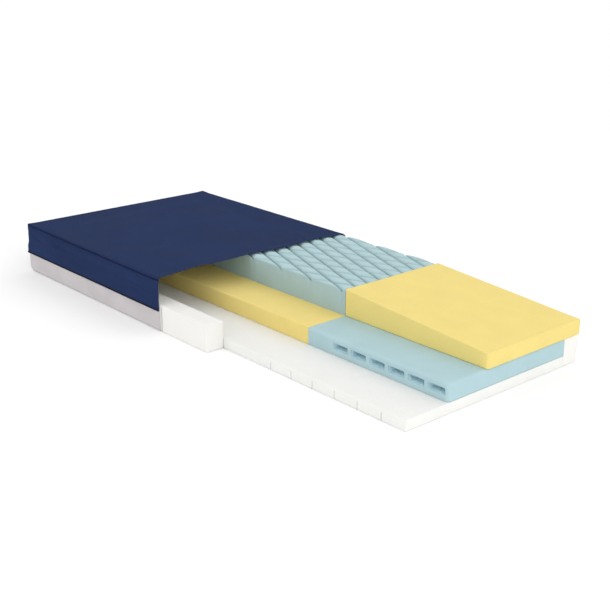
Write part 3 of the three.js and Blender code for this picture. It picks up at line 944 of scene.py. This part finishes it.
def thicken(made, thickness, backing=None):
    """Gives a sheet its thickness, inwards, with another material on its inside if there is one."""
    fabric = made.modifiers.new("fabric", "SOLIDIFY")
    fabric.thickness, fabric.offset = thickness, -1
    if backing:
        made.data.materials.append(backing)
        fabric.material_offset = 1
    apply_modifiers(made)
    shade_smooth(made, 60)


def part_of_cover(whole, number, name, node):
    """One sewn piece of the cover, with the fabric's thickness."""
    bm = bmesh.new()
    bm.from_mesh(whole.data)
    layer = bm.faces.layers.int["part"]
    bmesh.ops.delete(bm, geom=[f for f in bm.faces if f[layer] != number], context="FACES")
    made = mesh_object(name, [], [], NAVY)
    bm.to_mesh(made.data)
    bm.free()
    made.data.attributes.remove(made.data.attributes["part"])
    thicken(made, FABRIC, BACKING)
    return declare(made, node)


# ---- cords, tapes and bindings that follow a line ----
def sweep(name, line, outs, profile, material):
    """A closed profile of (out, up) offsets carried along a line; outs are the ways out at its points."""
    rings = [
        [p + out * o + Vector((0, 0, u)) for o, u in profile(i)]
        for i, (p, out) in enumerate(zip(line, outs))]
    return tube(name, rings, material, 50)


def ways_out(line):
    """Level unit vectors that point away from the mattress along a line round its sides."""
    outs = []
    for i in range(len(line)):
        along = line[min(i + 1, len(line) - 1)] - line[max(i - 1, 0)]
        along.z = 0
        along.normalize()
        outs.append(Vector((-along.y, along.x, 0)))
    return outs


def run_round(end_x, step):
    """Points on the side faces from the near cut round the head end to the far cut, at z = 0."""
    corner_x, corner_y = HEAD + PLAN_ROUND, HALF_W - PLAN_ROUND
    close = 22 * MM                # the stretch beside the head end where points are closer
    count = round((end_x - corner_x - close) / step)
    along = [lerp(end_x, corner_x + close, i / count) for i in range(count + 1)]
    along += [corner_x + share * close for share in (0.7, 0.48, 0.3, 0.16, 0.06)]
    near = [Vector((x, -HALF_W, 0)) for x in along]
    for angle in quarter(8):
        out = Vector((-math.sin(angle), -math.cos(angle), 0))
        near.append(Vector((corner_x, -corner_y, 0)) + PLAN_ROUND * out)
    across = round(2 * corner_y / step)
    head = [Vector((HEAD, lerp(-corner_y, corner_y, i / across), 0)) for i in range(1, across)]
    far = [Vector((p.x, -p.y, 0)) for p in reversed(near)]
    return near + head + far


def headness(out):
    return max(0.0, -out.x)


def top_welt(line, outs):
    """The turned seam round the top panel, a low soft cord sunk half into the fabric."""
    radius = 2.6 * MM

    def profile(_):
        return [(radius * 1.15 * math.cos(a), radius * math.sin(a) - 0.4 * MM)
                for a in (k * math.pi / 4 for k in range(8))]

    # the cord's darker navy is partly painted shade of the seam's groove
    made = sweep("top_seam", line, outs, profile, SEAM_WITH_PAINTED_SHADE)
    return declare(made, "top_seam_welt")


def hem_tape(line, outs):
    """A folded tape over the flap's lower edge."""
    height, thick, over, lap = 5.2 * MM, 1.3 * MM, 1.4 * MM, 0.5 * MM

    def profile(i):
        puff = 0.25 * MM * math.sin(i * 2.1)
        turned = 1.8 * MM * smooth(4 * headness(outs[i]) * (1 - headness(outs[i])))
        return [(o + turned, u) for o, u in (
            (-FABRIC - lap, over), (-FABRIC - thick, -height * 0.5), (-FABRIC, -height - puff),
            (0.0, -height * 1.05 - puff), (thick * 0.7, -height * 0.5), (lap, over))]

    made = sweep("hem_tape", line, outs, profile, HEM_TAPE)
    return declare(made, "hem_binding")


BAND_STEP = 12 * MM                # between points along the walls and tapes that go round the sides
TROUGH_STEPS = 8


def trough(name, material, thickness, end_x, top_of, bulge, side_round, head_round, inset, low):
    """A tray of fabric under the core: walls round three sides, a rounded bottom edge, and a floor.

    side_round and head_round are the bottom edge's radii at the long sides and at the head end, inset
    is how far the walls are inside the side faces, and low is the height of the floor."""
    line = run_round(end_x, BAND_STEP)
    outs = ways_out(line)
    points = []
    size = 2 * TROUGH_STEPS
    floor = []
    for station, (p, out) in enumerate(zip(line, outs)):
        at_head = headness(out) > 0.99
        radius = head_round if at_head else side_round
        under = low if at_head else low + round_inset(p.x - HEAD - inset, head_round)
        row = [(inset, z) for z in np.linspace(top_of(p), under + radius, TROUGH_STEPS)]
        for angle in quarter(TROUGH_STEPS)[1:]:
            row.append((inset + radius * (1 - math.cos(angle)), under + radius * (1 - math.sin(angle))))
        at_corner = 0.01 < headness(out) < 0.99
        for d, z in row:
            d = min(d, PLAN_ROUND - 0.5 * MM) if at_corner else d
            wave = bulge(p, z) * smooth((z - under) / (6 * MM))
            points.append(p - out * (d - wave) + Vector((0, 0, z)))
        if at_head or p.x > HEAD + inset + head_round:
            floor.append(station * size + size - 1)
    made = mesh_object(name, points, [*grid_faces(len(line), size), floor], material)
    tidy_normals(made)
    if min(made.data.polygons, key=lambda f: f.center.y).normal.y > 0:
        made.data.flip_normals()
    thicken(made, thickness)
    return made


def cover_tub():
    top = hi("cover_base_tub").z

    def bulge(p, z):
        broad = wander((p.x, p.y, z), 200 * MM, 7) * 0.9
        return (broad + wander((p.x, p.y, z * 0.4), 70 * MM, 8) * 0.3) * MM

    made = trough(
        "cover_tub_soft", TAUPE, 1.2 * MM, TUB_CUT, lambda p: top, bulge,
        side_round=7.6 * MM, head_round=26 * MM, inset=0.2 * MM, low=0.2 * MM)
    return declare(made, "cover_base_tub")


def barrier_sock():
    def top_of(p):
        beside_cut = near_end(p.x, SOCK_CUT - 20 * MM, 40 * MM) if p.y < 0 else 0.0
        full = lerp(TOP_EDGE - 9.5 * MM, hi("bolster_near").z - 1 * MM, beside_cut)
        return full + 0.8 * MM * wander(p, 80 * MM, 9)

    def bulge(p, z):
        flick = 1.6 * MM * near_end(p.x, SOCK_CUT, 14 * MM)
        return wander((p.x, p.y, z), 120 * MM, 10) * 0.2 * MM + flick

    made = trough(
        "barrier_sock_soft", SOCK, 0.7 * MM, SOCK_CUT, top_of, bulge,
        side_round=6 * MM, head_round=23 * MM, inset=2.6 * MM, low=1.9 * MM)
    return declare(made, "barrier_sock")


def zip_band(node, material, inner, outer, rib=0.0):
    """A tape or coil that follows the sides behind the flap; a rib makes the coil's turns."""
    coil_pitch, gap = 2.2 * MM, 0.2 * MM
    line = run_round(hi(node).x, coil_pitch if rib else BAND_STEP)
    outs = ways_out(line)
    low, high = lo(node).z + gap, hi(node).z - gap

    def profile(i):
        inside, outside = inner - 0.3 * rib * (i % 2), outer + rib * (i % 2)
        return [(inside, low), (outside, low), (outside, high), (inside, high)]

    made = sweep(node + "_soft", line, outs, profile, material)
    return declare(made, node)


def zip_bands():
    for node in ("zip_tape_lower", "zip_tape_upper"):
        zip_band(node, ZIP_TAPE, -2.2 * MM, -1.4 * MM)
    for node in ("zip_coil_lower", "zip_coil_upper"):
        zip_band(node, COIL, -1.1 * MM, 0.9 * MM, 0.25 * MM)


def zip_hardware():
    for node in ("zip_slider", "zip_pull_tab"):
        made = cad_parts[node]
        made.data.materials.clear()
        made.data.materials.append(METAL)
        soften = made.modifiers.new("soft edges", "BEVEL")
        soften.width, soften.segments, soften.limit_method = 0.2 * MM, 2, "ANGLE"


def cover():
    whole, seam, hem = cover_mesh()
    push_out(whole, slack)
    settle(whole)
    seam_line, hem_line = ([whole.data.vertices[i].co.copy() for i in line] for line in (seam, hem))
    panel = part_of_cover(whole, PANEL, "cover_panel_soft", "cover_top_panel")
    near = part_of_cover(whole, NEAR, "cover_near_soft", "cover_border_near")
    head = part_of_cover(whole, HEAD_END, "cover_head_soft", "cover_border_head")
    far = part_of_cover(whole, FAR, "cover_far_soft", "cover_border_far")
    bpy.data.objects.remove(whole)
    kept = [p for i, p in enumerate(seam_line) if i == 0 or (p - seam_line[i - 1]).length > 0.5 * MM]
    welt = top_welt(kept, ways_out(kept))
    tape = hem_tape(hem_line, ways_out(hem_line))


# ---- studio ----
def studio():
    wide = 80
    corners = [(-wide, -wide, 0), (wide, -wide, 0), (wide, wide, 0), (-wide, wide, 0)]
    floor = mesh_object("floor", corners, [(0, 1, 2, 3)], floor_material())
    floor.location.z = -0.4 * MM
    world = bpy.data.worlds.new("studio")
    bpy.context.scene.world = world
    world.use_nodes = True
    sky = world.node_tree.nodes["Background"]
    sky.inputs["Color"].default_value = (1, 1, 1, 1)
    sky.inputs["Strength"].default_value = 1.05
    area_light("key", (4.6, -0.9, 2.2), (0.2, 0, 0.1), 3.0, 40)
    area_light("fill", (-0.4, -5.0, 1.0), (0, 0, 0.1), 3.5, 16)
    bpy.context.scene.view_settings.view_transform = "Standard"


def floor_material():
    n = Nodes("pale floor")
    tone = n.remap(n.noise(0.9, 2.0), 0.3, 0.7, 0.96, 0.975)
    n.set(Base_Color=n.scale((1.0, 1.0, 1.0), tone), Roughness=0.9, Specular_IOR_Level=0.1)
    return n.material


def area_light(name, place, target, size, power):
    data = bpy.data.lights.new(name, "AREA")
    data.size, data.energy = size, power
    light = bpy.data.objects.new(name, data)
    bpy.context.scene.collection.objects.link(light)
    light.location = place
    light.rotation_euler = (Vector(target) - Vector(place)).to_track_quat("-Z", "Y").to_euler()


CAMERA = {
    "place": (3.0518, -2.5258, 1.4246), "heading": 138.5684, "tilt": -19.5161, "roll": 0.3033, "lens": 64.6,
}


def camera():
    heading, tilt, roll = (math.radians(CAMERA[k]) for k in ("heading", "tilt", "roll"))
    forward = Vector((
        math.cos(tilt) * math.cos(heading), math.cos(tilt) * math.sin(heading), math.sin(tilt)))
    data = bpy.data.cameras.new("camera")
    data.lens, data.sensor_width = CAMERA["lens"], 36
    made = bpy.data.objects.new("camera", data)
    bpy.context.scene.collection.objects.link(made)
    turn = forward.to_track_quat("-Z", "Y").to_matrix().to_4x4() @ Matrix.Rotation(roll, 4, "Z")
    made.matrix_world = Matrix.Translation(CAMERA["place"]) @ turn
    bpy.context.scene.camera = made


# ---- the model ----
camera()
studio()
foams = [
    base_foam(), bolster("bolster_near", 1), bolster("bolster_far", 2), mid_torso_foam(), mid_heel_foam(),
    top_torso_foam(), top_heel_foam()]
for tray, node, cut_x in (
        (cover_tub(), "cover_base_tub", TUB_CUT), (barrier_sock(), "barrier_sock", SOCK_CUT)):
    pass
cover()
zip_bands()
zip_hardware()
